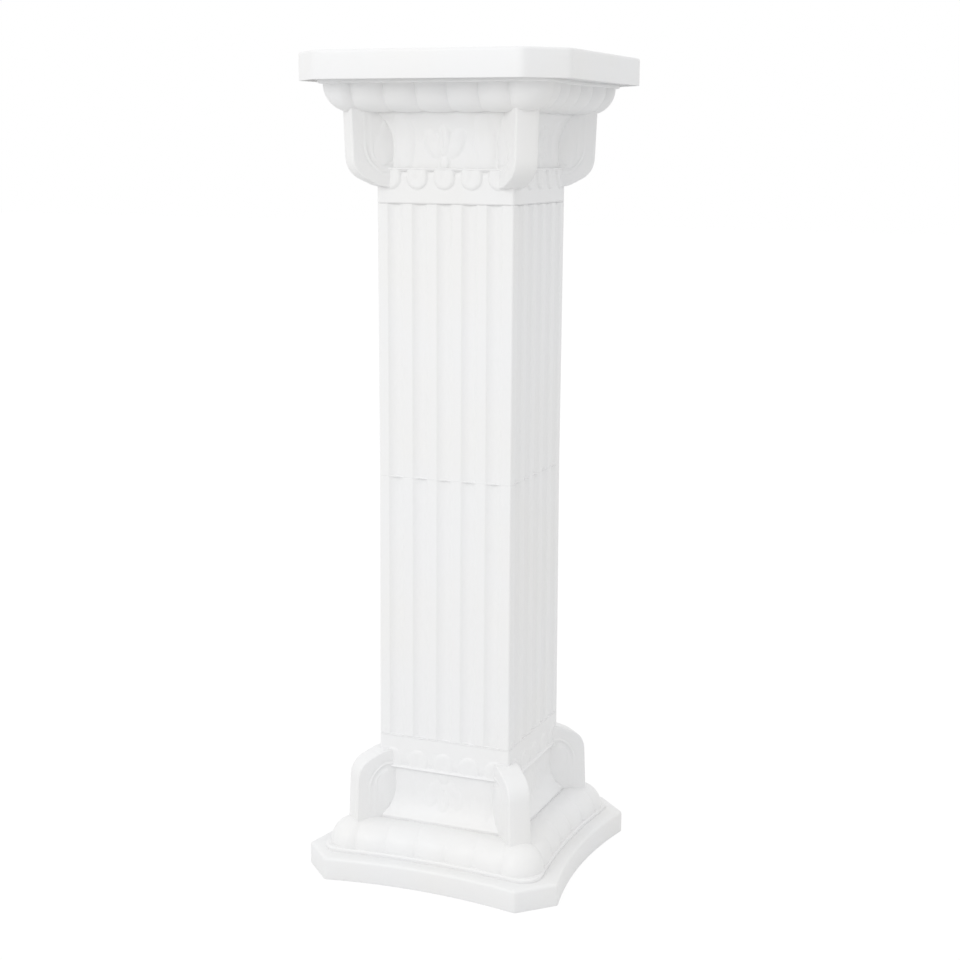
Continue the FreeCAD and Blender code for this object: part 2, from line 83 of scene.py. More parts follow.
def tube_grid(rows, columns):
    """Quads of a grid whose rows are closed loops, with its first and last row capped by quads
    that join each point to the one opposite it in the loop."""
    walls = closed_grid(rows, columns)[:(rows - 1) * columns]
    near = np.arange(columns // 2 - 1)
    far = columns - 1 - near
    first_cap = np.stack([near, near + 1, far - 1, far], -1)
    last_cap = first_cap[:, ::-1] + (rows - 1) * columns
    return np.concatenate([walls, first_cap, last_cap])


print("3 rows of 8 points:", len(closed_grid(3, 8)), "quads as a ring,",
      len(tube_grid(3, 8)), "as a capped tube")

# %% One piece from its arrays


def facing_out(points, faces):
    """The faces, turned over where the volume they enclose comes out negative."""
    a, b, c, d = (points[faces[:, k]] for k in range(4))
    volume = np.sum(a * np.cross(b, c)) + np.sum(a * np.cross(c, d))
    return faces if volume > 0 else faces[:, ::-1]


def make_piece(name, parts, body, finish, crease=40):
    """One mesh from a list of (points in millimetres, faces), shaded smooth except where two
    faces meet at more than the crease angle, in degrees."""
    points, faces, count = [], [], 0
    for part_points, part_faces in parts:
        flat = np.asarray(part_points, float).reshape(-1, 3)
        points.append(flat)
        faces.append(facing_out(flat, part_faces) + count)
        count += len(flat)
    points, faces = np.concatenate(points), np.concatenate(faces)
    mesh = bpy.data.meshes.new(name)
    mesh.vertices.add(len(points))
    mesh.vertices.foreach_set("co", (points * MM).ravel())
    mesh.loops.add(faces.size)
    mesh.loops.foreach_set("vertex_index", faces.ravel())
    mesh.polygons.add(len(faces))
    mesh.polygons.foreach_set("loop_start", np.arange(0, faces.size, 4))
    mesh.update(calc_edges=True)
    mesh.validate()
    mesh.shade_smooth()
    mesh.set_sharp_from_angle(angle=np.radians(crease))
    mesh.materials.append(finish)
    obj = bpy.data.objects.new(name, mesh)
    bpy.context.scene.collection.objects.link(obj)
    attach(obj, body)
    print(f"{name}: {len(points)} points, {2 * len(faces)} triangles")
    return obj


def upside_down(points):
    """The same points with the column turned end for end."""
    return points * [1, 1, -1] + [0, 0, TOP]


print("turned over, the middle of the foot goes to", upside_down(np.zeros(3)))

# %% [markdown]
# ## Profiles and plans
# A moulding is a profile carried round a plan, as a cornice is run in plaster. Corners of both
# are eased, because molten plastic never fills a sharp one, and it is these small rounds that
# catch the thin bright lines seen along each edge.

# %% Outlines


def eased(corners, steps=5):
    """A closed outline through (x, y, reach) corners. Each corner is a curve that leaves its
    sides at that reach: (1-t)^2 start + 2t(1-t) corner + t^2 end."""
    corners = np.array(corners, float)
    place, reach = corners[:, :2], corners[:, 2:]
    before = np.roll(place, 1, 0) - place
    after = np.roll(place, -1, 0) - place
    start = place + before / np.linalg.norm(before, axis=1, keepdims=True) * reach
    end = place + after / np.linalg.norm(after, axis=1, keepdims=True) * reach
    start, place, end = start[:, None], place[:, None], end[:, None]
    t = np.linspace(0, 1, steps)[None, :, None]
    curve = (1 - t) ** 2 * start + 2 * t * (1 - t) * place + t ** 2 * end
    keep = (reach > 0) | (np.arange(steps) == 0)[None]
    return curve[keep]


def lengths(line):
    """How far along a line each of its points lies."""
    return np.r_[0, np.cumsum(np.linalg.norm(np.diff(line, axis=0), axis=1))]


def points_at(line, places):
    """The points of a line at these distances along it."""
    along = lengths(line)
    return np.stack([np.interp(places, along, line[:, k]) for k in range(2)], -1)


def spaced(outline, spacing):
    """A closed outline with its points at even spacing along it, as many as a multiple of 4."""
    loop = np.vstack([outline, outline[:1]])
    whole = lengths(loop)[-1]
    return points_at(loop, np.linspace(0, whole, int(whole / spacing) // 4 * 4, endpoint=False))


def softened(outline, reach):
    """Each point becomes the mean of its neighbours, weighted by a bell curve that many steps
    wide."""
    steps = np.arange(-int(3 * reach), int(3 * reach) + 1)
    weight = np.exp(-0.5 * (steps / reach) ** 2)
    weight /= weight.sum()
    return sum(w * np.roll(outline, s, axis=0) for w, s in zip(weight, steps))


print("a square eased to", len(eased([(0, 0, 1), (9, 0, 1), (9, 9, 1), (0, 9, 1)])), "points")

# %% Sides and corners


def four_sides(front):
    """The front's points (x, y, ...), in order along their last axis but one, turned to all
    four sides of the column one after the other."""
    x, y, rest = front[..., 0], front[..., 1], front[..., 2:]
    turned = [(x, y), (-y, x), (-x, -y), (y, -x)]
    sides = [np.concatenate([np.stack(side, -1), rest], -1) for side in turned]
    return np.concatenate(sides, axis=-2)


def square_plan(half, corner, spacing):
    """A square outline with rounded corners."""
    ring = [(half, -half, corner), (half, half, corner), (-half, half, corner),
            (-half, -half, corner)]
    return spaced(eased(ring, steps=9), spacing)


def outward(plan):
    """Unit normals of an outline that runs anticlockwise."""
    run = np.roll(plan, -1, 0) - np.roll(plan, 1, 0)
    run /= np.linalg.norm(run, axis=1, keepdims=True)
    return np.stack([run[:, 1], -run[:, 0]], -1)


def along_sides(plan):
    """For each point of a square plan: its normal, how far along its side it lies, and whether
    it is on the flat of the side, not on a rounded corner."""
    normal = outward(plan)
    facing = np.abs(normal[:, 1]) > np.abs(normal[:, 0])
    along = np.where(facing, plan[:, 0], plan[:, 1])
    return normal, along, np.max(np.abs(normal), axis=1) > 0.999


def from_nearest(x, pitch):
    """Distance from x to the nearest of five marks, evenly spaced about the side's middle."""
    return x - pitch * np.clip(np.round(x / pitch), -2, 2)


print("a side's last mark lies", from_nearest(90.0, 30.0), "from its corner at 90")

# %% Profiles carried round a plan
SHALLOW = 3.0


def carried_round(plan, profile):
    """Profile points (inset, height) carried round a plan. The first few millimetres of inset
    run along the plan's normal. The rest shrinks the whole plan, so that it never crosses
    itself at a corner."""
    inset, height = profile[:, 0, None, None], profile[:, 1, None, None]
    shallow = np.minimum(inset, SHALLOW)
    level = (plan[None] - shallow * outward(plan)[None]) * (1 - (inset - shallow) / plan.max())
    return np.concatenate([level, np.broadcast_to(height, level.shape[:2] + (1,))], -1)


def moulding(plan, profile):
    """A closed ring: its points and faces."""
    points = carried_round(plan, profile)
    return points, closed_grid(*points.shape[:2])


print("a profile's inset follows the normal for its first", SHALLOW, "mm")

# %% [markdown]
# ## Finish: white moulded plastic
# The plastic is a cool near white with a soft gloss. Three things keep it from looking like
# plaster: the sheen varies a little where the mould was polished unevenly, the surface has the
# faint sink and ripple of thick mouldings, and a few specks and patches of dust grey it slightly.
# A small class wraps the shader sockets, so that this can be written as arithmetic.

# %% Shader arithmetic


class Shade:
    """A socket that can be added, taken away and multiplied."""

    def __init__(self, tree, socket=None):
        self.tree, self.socket = tree, socket

    def node(self, kind, settings=(), out=0, **inputs):
        """A node of this type, with its settings made first and then its sockets filled. A
        socket is given by its name, or by i and its number."""
        made = self.tree.nodes.new(kind)
        for key, value in dict(settings).items():
            setattr(made, key, value)
        for key, value in inputs.items():
            name = int(key[1:]) if key[1:].isdigit() else key.replace("_", " ")
            if isinstance(value, Shade):
                self.tree.links.new(value.socket, made.inputs[name])
            else:
                made.inputs[name].default_value = value
        return Shade(self.tree, made.outputs[out])

    def maths(self, operation, left, right):
        """One Math node."""
        return self.node("ShaderNodeMath", {"operation": operation}, i0=left, i1=right)

    def __add__(self, other):
        return self.maths("ADD", self, other)

    def __sub__(self, other):
        return self.maths("SUBTRACT", self, other)

    def __rsub__(self, other):
        return self.maths("SUBTRACT", other, self)

    def __mul__(self, other):
        return self.maths("MULTIPLY", self, other)

    __radd__, __rmul__ = __add__, __mul__

    def or_more(self, other):
        """The larger of the two."""
        return self.maths("MAXIMUM", self, other)

    def smooth(self, low, high):
        """0 below low, 1 above high and an even S-curve between."""
        return self.node("ShaderNodeMapRange", {"interpolation_type": "SMOOTHSTEP"},
                         Value=self, From_Min=low, From_Max=high)


def mix_colour(factor, first, second):
    """One colour changing to another as the factor goes from 0 to 1."""
    return factor.node("ShaderNodeMix", {"data_type": "RGBA"}, out=2, i0=factor,
                       i6=first, i7=second)


print("a shade can", [name for name in vars(Shade) if not name.startswith("__")])

# %% The plastic
CLEAN = (0.82, 0.823, 0.828, 1)
DUSTY = (0.72, 0.72, 0.72, 1)
WARM = (0.82, 0.818, 0.812, 1)
PLASTIC_IOR = 1.49
PLASTIC_SPECULAR = 0.42


def white_plastic(name="white_plastic", ripple=1.0, gloss=0.34):
    """Moulded plastic: colour, sheen and ripple all from noise on Object coordinates."""
    material = bpy.data.materials.new(name)
    material.use_nodes = True
    tree = material.node_tree
    shader = tree.nodes["Principled BSDF"]
    start = Shade(tree)
    place = start.node("ShaderNodeTexCoord", out=3)
    cloud = start.node("ShaderNodeTexNoise", Vector=place, Scale=7.0, Detail=3.0)
    drift = start.node("ShaderNodeTexNoise", Vector=place, Scale=38.0, Detail=4.0, Roughness=0.6)
    fleck = start.node("ShaderNodeTexNoise", Vector=place, Scale=620.0, Detail=2.0)
    grain = start.node("ShaderNodeTexNoise", Vector=place, Scale=1900.0, Detail=1.0)
    dust = start.node("ShaderNodeTexVoronoi", {"feature": "F1"}, Vector=place, Scale=420.0)
    specks = 1 - dust.smooth(0.03, 0.09)
    tone = mix_colour(cloud.smooth(0.35, 0.7), CLEAN, WARM)
    grime = drift.smooth(0.55, 0.8) * 0.10 + specks * fleck.smooth(0.55, 0.62) * 0.5
    colour = mix_colour(grime, tone, DUSTY)
    sheen = gloss + cloud * 0.06 + drift * 0.08 + fleck * 0.05
    height = drift * (0.35 * ripple) + cloud * (1.6 * ripple) + fleck * 0.035 + grain * 0.012
    bump = start.node("ShaderNodeBump", Height=height, Strength=0.35, Distance=0.0012)
    for shade, socket in ((colour, "Base Color"), (sheen, "Roughness"), (bump, "Normal")):
        tree.links.new(shade.socket, shader.inputs[socket])
    shader.inputs["IOR"].default_value = PLASTIC_IOR
    shader.inputs["Specular IOR Level"].default_value = PLASTIC_SPECULAR
    print(f"{name}: {len(tree.nodes)} nodes")
    return material


PLASTIC = white_plastic()
INSIDE = white_plastic("white_plastic_inside", ripple=1.6, gloss=0.5)

# %% [markdown]
# ## Plinth and bead
# The foot of a block is a square slab with drawn-in sides and cut corners, as under a classical
# capital, and a thin bead lies on it. A box cut by booleans would give the same faces, but with
# razor edges. A profile carried round the plan gives every edge its own small round.

# %% Sizes of plinth and bead
WALL = 2.6
PLINTH_HALF = BLOCK_HIGH[0]
PLINTH_HEIGHT = 25.6
PLINTH_CUT = 36.5
PLINTH_SAG = 12.3
PLINTH_SHELF = 30.0
BEAD_HALF = 129.5
BEAD_SAG = 7.5
BEAD_CORNER = 20.0
BEAD_HEIGHT = 4.6
BEAD_SHELF = 16.0
BEAD_ROOT = 1.6
SPRING = PLINTH_HEIGHT + BEAD_HEIGHT
print("the lobes spring from", SPRING, "mm up")

# %% Plinth and bead


def drawn_side(half, span, sag, count=60):
    """A side from x = -span to span that draws in by sag at its middle, as a parabola does."""
    x = np.linspace(-span, span, count)
    return np.stack([x, -half + sag * (1 - (x / span) ** 2)], -1)


plinth_plan = softened(spaced(four_sides(drawn_side(
    PLINTH_HALF, PLINTH_HALF - PLINTH_CUT, PLINTH_SAG)), 1.0), 1.6)
plinth_plan *= PLINTH_HALF / plinth_plan.max()
plinth_profile = eased([
    (0, 0, 0.6), (0, PLINTH_HEIGHT - 0.8, 3.6), (10, PLINTH_HEIGHT, 3),
    (PLINTH_SHELF, PLINTH_HEIGHT, 0), (PLINTH_SHELF, PLINTH_HEIGHT - WALL, 0),
    (WALL, PLINTH_HEIGHT - WALL, 1.5), (WALL, 0, 0.6)])
corner_turn = np.linspace(0, np.pi / 2, 14)[1:-1, None]
bead_front = drawn_side(BEAD_HALF, BEAD_HALF - BEAD_CORNER, BEAD_SAG)
bead_corner = (np.array([BEAD_HALF - BEAD_CORNER, BEAD_CORNER - BEAD_HALF])
               + BEAD_CORNER * np.hstack([np.sin(corner_turn), -np.cos(corner_turn)]))
bead_plan = softened(spaced(four_sides(np.vstack([bead_front, bead_corner])), 0.8), 5)
bead_profile = eased([
    (0.8, PLINTH_HEIGHT - BEAD_ROOT, 0), (-0.3, PLINTH_HEIGHT + 1.2, 1.2), (0, SPRING, 2.2),
    (BEAD_SHELF, SPRING, 0), (BEAD_SHELF, PLINTH_HEIGHT - BEAD_ROOT, 0)], steps=7)
print("plinth plan", plinth_plan.shape, "bead plan", bead_plan.shape)

# %% [markdown]
# ## The lobed moulding
# Above the bead runs a row of five egg-shaped lobes to a side, and a larger round one at each
# corner. Modelling each egg and joining them would leave ragged seams. Instead the whole row is
# one skin round a middle line: at each place along it the cross-section is a quarter ellipse,
# whose size swells and shrinks as the eggs come and go.

# %% Sizes of the lobes
LOBE_LINE = 97.5
LOBE_SAG = 7.0
LOBE_PITCH = 35.0
LOBE_REACH = 30.0
LOBE_RISE = 29.0
VALLEY = 0.20
ROLL = 2.5
BELL_FOOT = 88.8
SIDE_STEP = 1.0


def lobe_size(x, worn):
    """How full the section is at x along a side: 1 - depth * dip, where dip is part u^2 and part
    1 - sqrt(1 - u^2), and u is the distance from the nearest lobe's middle as a share of half
    its length. The second part makes the crease between two lobes. Worn is the share of the
    full depth that is left."""
    lobe = np.abs(from_nearest(x, LOBE_PITCH)) / (LOBE_PITCH / 2)
    corner = (LOBE_LINE - np.abs(x)) / (LOBE_LINE - 2.5 * LOBE_PITCH)
    u = np.clip(np.minimum(lobe, corner), 0, 1)
    dip = 0.6 * u ** 2 + 0.4 * (1 - np.sqrt(1 - 0.9 * u ** 2))
    return 1 - VALLEY * worn * dip


print("between two lobes the section is", round(float(lobe_size(LOBE_PITCH / 2, 1.0)), 3),
      "of its full size")

# %% Lobed moulding


def lobed_rows(reach, rise, turns, worn):
    """Rows of points at each angle up the section, over all four sides and corners."""
    x = np.arange(-LOBE_LINE, LOBE_LINE + 0.1, SIDE_STEP)
    line = np.stack([x, -LOBE_LINE + LOBE_SAG * (1 - (x / LOBE_LINE) ** 2)], -1)
    sweep = np.linspace(0, np.pi / 2, 30)[1:-1]
    centre = np.full((len(sweep), 2), [LOBE_LINE, -LOBE_LINE])
    across = np.vstack([np.tile([0.0, -1.0], (len(x), 1)),
                        np.stack([np.sin(sweep), -np.cos(sweep)], -1)])
    size = np.r_[lobe_size(x, worn), np.ones(len(sweep))][None, :, None]
    middle = np.vstack([line, centre])[None]
    turn = turns[:, None, None]
    level = middle + across[None] * reach * size * np.cos(turn)
    height = SPRING + rise * (0.75 + 0.25 * size) * np.sin(turn)
    return four_sides(np.concatenate([level, height], -1))


def lobed_moulding(worn):
    """Outer skin from the bead up, over and a little down behind, where it rolls on to the
    bell's wall, then the inner skin back down, as one closed ring."""
    up = np.linspace(0, np.pi / 2, 26)
    outside = lobed_rows(LOBE_REACH, LOBE_RISE, up, worn)
    crest = outside[-1:]
    over = np.linspace(0, np.pi / 2, 7)[1:, None, None]
    share = 1 - (BELL_FOOT - 1) / np.abs(crest[..., :2]).max(-1, keepdims=True)
    level = crest[..., :2] * (1 - share * np.sin(over))
    rolled = np.concatenate([level, crest[..., 2:] - ROLL * (1 - np.cos(over))], -1)
    inside = lobed_rows(LOBE_REACH - WALL, LOBE_RISE - WALL, up[::-2], worn)
    inside[0] = rolled[-1] - [0, 0, WALL]
    foot_out, foot_in = outside[:1].copy(), inside[-1:].copy()
    foot_out[..., 2] = foot_in[..., 2] = PLINTH_HEIGHT - WALL / 2
    points = np.concatenate([foot_out, outside, rolled, inside, foot_in])
    return points, closed_grid(*points.shape[:2])


print("lobed moulding", lobed_moulding(1.0)[0].shape)

# %% [markdown]
# ## The flared bell and its palmettes
# Between the lobes and the ledge each side is a hollow curve that sweeps up into a flat panel
# with a palmette on it: a flower on a stem between two tall leaves. The relief is a height that
# is added to the wall, so that the leaves follow the flare instead of floating on it.

# %% Relief shapes


def hump(place, at, width):
    """1 on a line and less on both sides of it: e to the power -((place - at) / width)^2."""
    return np.exp(-((place - at) / width) ** 2)


def step(place, at, width):
    """0 before a line and 1 after it: 1 / (1 + e to the power -(place - at) / width)."""
    return 1 / (1 + np.exp(-(place - at) / width))


def petal(x, z, centre, size, lean, proud, edge):
    """A domed oval leaf: proud * (1 - distance^edge), where distance is 1 on its rim. A higher
    edge number makes a flatter leaf with a steeper rim."""
    turn = np.radians(lean)
    across = (x - centre[0]) * np.cos(turn) + (z - centre[1]) * np.sin(turn)
    along = (z - centre[1]) * np.cos(turn) - (x - centre[0]) * np.sin(turn)
    distance = np.sqrt((across / size[0]) ** 2 + (along / size[1]) ** 2)
    return proud * np.clip(1 - distance ** edge, 0, None)


# Each leaf: its middle (x, z), its half width and half length, lean in degrees, height and edge.
SIDE_LEAVES = (((46, 90), (12.5, 34), -2, 2.0, 3), ((12.5, 91), (9.5, 17), 26, 1.9, 3.5))
STEM = ((0, 110), (6.0, 9), 0, 1.8, 3)
FLOWER = ((0, 88), (8.0, 17), 0, 2.4, 3.5)
FLOWER_LOW, FLOWER_HIGH = 76, 96


def palmette(x, z, worn):
    """Height of the bell's ornament over its wall, the same to the left and to the right."""
    near = np.abs(x)
    vein = 0.7 * hump(near, 0, 1.5) * (z < FLOWER_HIGH) * (z > FLOWER_LOW)
    leaves = [petal(near, z, *leaf) for leaf in SIDE_LEAVES + (STEM,)]
    return worn * np.max(leaves + [petal(near, z, *FLOWER) - vein], axis=0)


print("the flower stands", palmette(np.array([4.0]), np.array([88.0]), 1.0)[0].round(2),
      "mm proud, 4 mm from its vein")

# %% Bell
BELL_HALF = 77.0
BELL_TOP = 92.0
BELL_FLARE = 46.3
BELL_START = 50.0
LEDGE_LOW = 116.0
LEDGE_HIGH = 118.6


def bell_reach(z):
    """Distance of the wall from the axis: upright above the flare, a hollow arc below, and
    upright again where it drops behind the lobes."""
    drop = np.clip(BELL_TOP - z, 0, BELL_FLARE * 0.98)
    flare = BELL_HALF + BELL_FLARE - np.sqrt(BELL_FLARE ** 2 - drop ** 2)
    return np.minimum(flare, BELL_FOOT)


def square_rows(heights, reach, across, relief=None):
    """Rows of a square wall: on each side x runs from corner to corner in even shares."""
    share, z = np.meshgrid(across, heights)
    out = reach(z)
    x = share * out
    lift = relief(x, z) if relief else 0
    return four_sides(np.stack([x, -out - lift, z], -1))


def bell(worn):
    """Outer wall with its relief from the lobes up, then the plain inner wall down."""
    across = np.linspace(-1, 1, 190, endpoint=False)
    heights = np.linspace(BELL_START, LEDGE_LOW + 1, 86)
    outside = square_rows(heights, bell_reach, across, lambda x, z: palmette(x, z, worn))
    inside = square_rows(heights[::-8], lambda z: bell_reach(z) - WALL, across)
    points = np.concatenate([outside, inside])
    return points, closed_grid(*points.shape[:2])


print("the bell is", bell_reach(np.array([BELL_START, LEDGE_LOW])), "from the axis, low and high")

# %% [markdown]
# ## Ledge, collar and leaf tongues
# A thin ledge divides bell and collar, and from it hang five tongues to a side, like the lower
# row of leaves on a capital. The tongues are relief on the collar's wall. The ledge is a rounded
# strip that also gives the dark line under which the tongues start.

# %% Tongues and ledge
COLLAR_HALF = SHAFT_HIGH[0]
COLLAR_TOP = BLOCK_HIGH[2]
CORNER_ROUND = 3.0
TONGUE_PITCH = 31.0
TONGUE_HALF = 12.0
TONGUE_TIP = 138.6
TONGUE_CLEAR = 141.0
LEDGE_PROUD = 3.0
LEDGE_DEEP = 5.5
LIP = 4.5


def tongues(x, z):
    """Height of the hanging leaves: flat and proud, with a rounded end and a steep rim, a
    shallow hollow down the middle, and a notch between two leaves under the ledge."""
    near = from_nearest(x, TONGUE_PITCH)
    drop = np.clip(z - (TONGUE_TIP - TONGUE_HALF), 0, None)
    distance = np.hypot(near, drop) / TONGUE_HALF
    body = 2.5 * np.clip(1 - distance ** 7, 0, None) ** 0.8
    hollow = 0.7 * hump(near, 0, 3.2) * np.clip(1 - drop / 8, 0, 1) * (distance < 1)
    notch = 2.1 * hump(np.abs(near), TONGUE_PITCH / 2, 3.0)
    return body - hollow - notch * np.clip(1 - (z - LEDGE_HIGH) / 6, 0, 1)


ledge_plan = square_plan(COLLAR_HALF + LEDGE_PROUD, 3.5, 1.2)
ledge_profile = eased([
    (0.5, LEDGE_LOW, 0.7), (0, LEDGE_HIGH - 1.2, 0.8), (LEDGE_PROUD, LEDGE_HIGH + 1.2, 1.0),
    (LEDGE_DEEP, LEDGE_HIGH + 1.2, 0), (LEDGE_DEEP, LEDGE_LOW, 0)], steps=6)
print("ledge plan", ledge_plan.shape)

# %% Collar


def collar_wall(worn):
    """The collar's outer wall with its tongues, over its seam edge and down inside."""
    plan = square_plan(COLLAR_HALF, CORNER_ROUND, 0.8)
    normal, along, flat = along_sides(plan)
    heights = np.r_[LEDGE_LOW + 0.5, np.linspace(LEDGE_HIGH - 0.6, TONGUE_CLEAR, 36),
                    np.linspace(TONGUE_CLEAR, COLLAR_TOP - 1.2, 5)[1:]]
    edge = eased([
        (0, COLLAR_TOP - 3, 0), (0, COLLAR_TOP, 1.3), (LIP, COLLAR_TOP, 0.5),
        (LIP, COLLAR_TOP - 2, 0.5), (WALL, COLLAR_TOP - 2, 0), (WALL, LEDGE_LOW + 0.5, 0)])
    profile = np.vstack([np.stack([np.zeros(len(heights)), heights], -1), edge[1:]])
    points = carried_round(plan, profile)
    lift = worn * tongues(along[None], points[:len(heights), :, 2])
    points[:len(heights), :, :2] += (lift * flat[None])[..., None] * normal[None]
    return points, closed_grid(*points.shape[:2])


print("collar wall", collar_wall(1.0)[0].shape)

# %% [markdown]
# ## Corner scrolls
# A bracket stands on each corner lobe and rolls over on to the collar. Its outer face is a broad
# plain band. Each side shows nested arches: the band's rim, a thin ridge that carries the ledge
# round, and a swollen eye that comes to a point near the collar. The side is a sheet over the
# (distance from the axis, height) plane whose thickness depends on how far in from the outline a
# point lies, so that the arches run parallel to the outline by themselves.

# %% Scroll outline
SCROLL_HALF = 13.0
SCROLL_LEFT = 86.0
SCROLL_FOOT = 52.0
FOOT_REACH = 143.8
HEAD_REACH = 140.8
HEAD_HEIGHT = 121.5
CROWN_REACH = 109.0
CROWN_HEIGHT = 136.2
SCROLL_ROWS = 130


def scroll_outline():
    """The scroll's back from its foot, up its face and over the roll to the collar."""
    face = eased([
        (FOOT_REACH, SCROLL_FOOT, 0), (HEAD_REACH, HEAD_HEIGHT, 17),
        (CROWN_REACH, CROWN_HEIGHT, 6), (SCROLL_LEFT, CROWN_HEIGHT + 0.2, 0),
        (SCROLL_LEFT, SCROLL_FOOT, 0)], steps=24)[:-1]
    return face[face[:, 0] >= CROWN_REACH - 5]


def distance_in(points, outline):
    """Distance from each point to the nearest point of the outline, finely divided."""
    line = points_at(outline, np.linspace(0, lengths(outline)[-1], 500))
    gap = points[:, None] - line[None]
    return np.sqrt((gap ** 2).sum(-1).min(1))


print("scroll outline", round(float(lengths(scroll_outline())[-1]), 1), "mm long")

# %% Relief of a scroll's side
ARCH_ROUND = 30.0
EYE_MIDDLE = 106.0
EYE_TOP = 113.5
EYE_LONG = 46.0
EYE_HALF = 13.0
EDGE_ROUND = 1.8


def arch_place(r, z):
    """How far in from the face and the top a point lies, with wide round corners between the
    two: R - hypot(R - a, R - b) for distances a from the face and b from the top below R."""
    lean = (FOOT_REACH - HEAD_REACH) / (HEAD_HEIGHT - SCROLL_FOOT)
    face = FOOT_REACH - lean * (z - SCROLL_FOOT) - r
    top = 0.42 * np.clip(HEAD_REACH - r, 0, HEAD_REACH - CROWN_REACH) + 0.908 * (HEAD_HEIGHT - z)
    short_face, short_top = (np.clip(ARCH_ROUND - d, 0, None) for d in (face, top))
    nearest = np.minimum(face, top)
    return np.where(nearest > ARCH_ROUND, nearest, ARCH_ROUND - np.hypot(short_face, short_top))


def scroll_thickness(r, z, inward):
    """Half thickness of the scroll: rim band, groove, ridge, channel, inner arch and eye. All
    but the eye grow fainter down the upright part."""
    place = arch_place(r, z)
    fade = 0.2 + 0.8 * np.clip((z - 86) / 24, 0, 1)
    arches = (-0.5 * step(place, 11.6, 0.5) + 0.8 * hump(place, 15.0, 1.3)
              - 0.3 * step(place, 17.2, 0.6) + 0.7 * hump(place, 22.3, 1.4) * (r > 96))
    down = np.clip((EYE_TOP - z) / EYE_LONG, 0, 1)
    width = EYE_HALF * np.sin(np.pi * down ** 0.72) ** 0.8 + 1e-6
    eye = 1.2 * np.clip(1 - ((r - EYE_MIDDLE) / width) ** 2, 0, None) ** 0.6
    edge = np.clip(EDGE_ROUND - inward, 0, None)
    rounding = EDGE_ROUND - np.sqrt(np.clip(EDGE_ROUND ** 2 - edge ** 2, 0, None))
    return np.maximum(SCROLL_HALF + arches * fade, SCROLL_HALF - 0.8 + eye) - rounding


print("arches 25 mm in from the face at", arch_place(FOOT_REACH - 25, SCROLL_FOOT))

# %% Scroll
SIDE_SHARES = np.r_[np.array([0, 0.12, 0.35, 0.7, 1.1, 1.6]) / 55, np.linspace(2.2 / 55, 1, 72)]
BAND_SHARES = np.array([-0.75, -0.5, -0.25, 0.25, 0.5, 0.75])
BAND_CROWN = 0.5


def scroll():
    """Closed rows: out along the left side, across the back's band, which is crowned by a
    little, and in along the right. A row has an even number of points, for its caps."""
    outline = scroll_outline()
    back_r, back_z = points_at(outline, np.linspace(0, lengths(outline)[-1], SCROLL_ROWS)).T
    back_z = np.maximum.accumulate(back_z + np.arange(SCROLL_ROWS) * 1e-4)
    r = back_r[:, None] - SIDE_SHARES[None] * (back_r[:, None] - SCROLL_LEFT)
    z = np.broadcast_to(back_z[:, None], r.shape)
    inward = distance_in(np.stack([r.ravel(), z.ravel()], -1), outline).reshape(r.shape)
    half = scroll_thickness(r, z, inward)
    band_t = BAND_SHARES[None] * half[:, :1]
    band_r = back_r[:, None] + BAND_CROWN * (1 - BAND_SHARES[None] ** 2)
    loop_r = np.concatenate([r[:, ::-1], band_r, r], axis=1)
    loop_t = np.concatenate([-half[:, ::-1], band_t, half], axis=1)
    loop_z = np.broadcast_to(back_z[:, None], loop_r.shape)
    return np.stack([loop_r, loop_t, loop_z], -1)


def at_corner(points, corner):
    """The scroll's own (out, across, up) turned to one of the four corners."""
    angle = np.pi / 4 + corner * np.pi / 2
    out, across, up = np.moveaxis(points, -1, 0)
    return np.stack([out * np.cos(angle) - across * np.sin(angle),
                     out * np.sin(angle) + across * np.cos(angle), up], -1)


SCROLL = scroll()
print("scroll", SCROLL.shape)

# %% [markdown]
# ## The two blocks
# Base and capital come from one mould, so both are built by one function, which turns its points
# upside down for the capital. Eight small ribs inside the collar hold the joiner sleeve.

# %% Ribs inside the collar
RIB_THICK = 2.2
RIB_PLACE = 42.6
RIB_INNER = 72.5
RIB_LONG = 30.0
RIB_SHORT = 1.5


def box_grid(low, high):
    """The eight corners and six faces of a plain rib."""
    corners = np.array([[x, y, z] for z in (low[2], high[2]) for y in (low[1], high[1])
                        for x in (low[0], high[0])])
    faces = np.array([[0, 2, 3, 1], [4, 5, 7, 6], [0, 1, 5, 4], [2, 6, 7, 3], [0, 4, 6, 2],
                      [1, 3, 7, 5]])
    return corners, faces


def collar_ribs():
    """Two ribs inside each side of the collar."""
    ribs = []
    for side in range(4):
        turn = np.array(Matrix.Rotation(side * np.pi / 2, 3, "Z"))
        for x in (-RIB_PLACE, RIB_PLACE):
            corners, faces = box_grid(
                (x - RIB_THICK / 2, -COLLAR_HALF + 1, COLLAR_TOP - RIB_LONG),
                (x + RIB_THICK / 2, -RIB_INNER, COLLAR_TOP - RIB_SHORT))
            ribs.append((corners @ turn.T, faces))
    return ribs


print(len(collar_ribs()), "ribs in a collar")

# %% Build the blocks


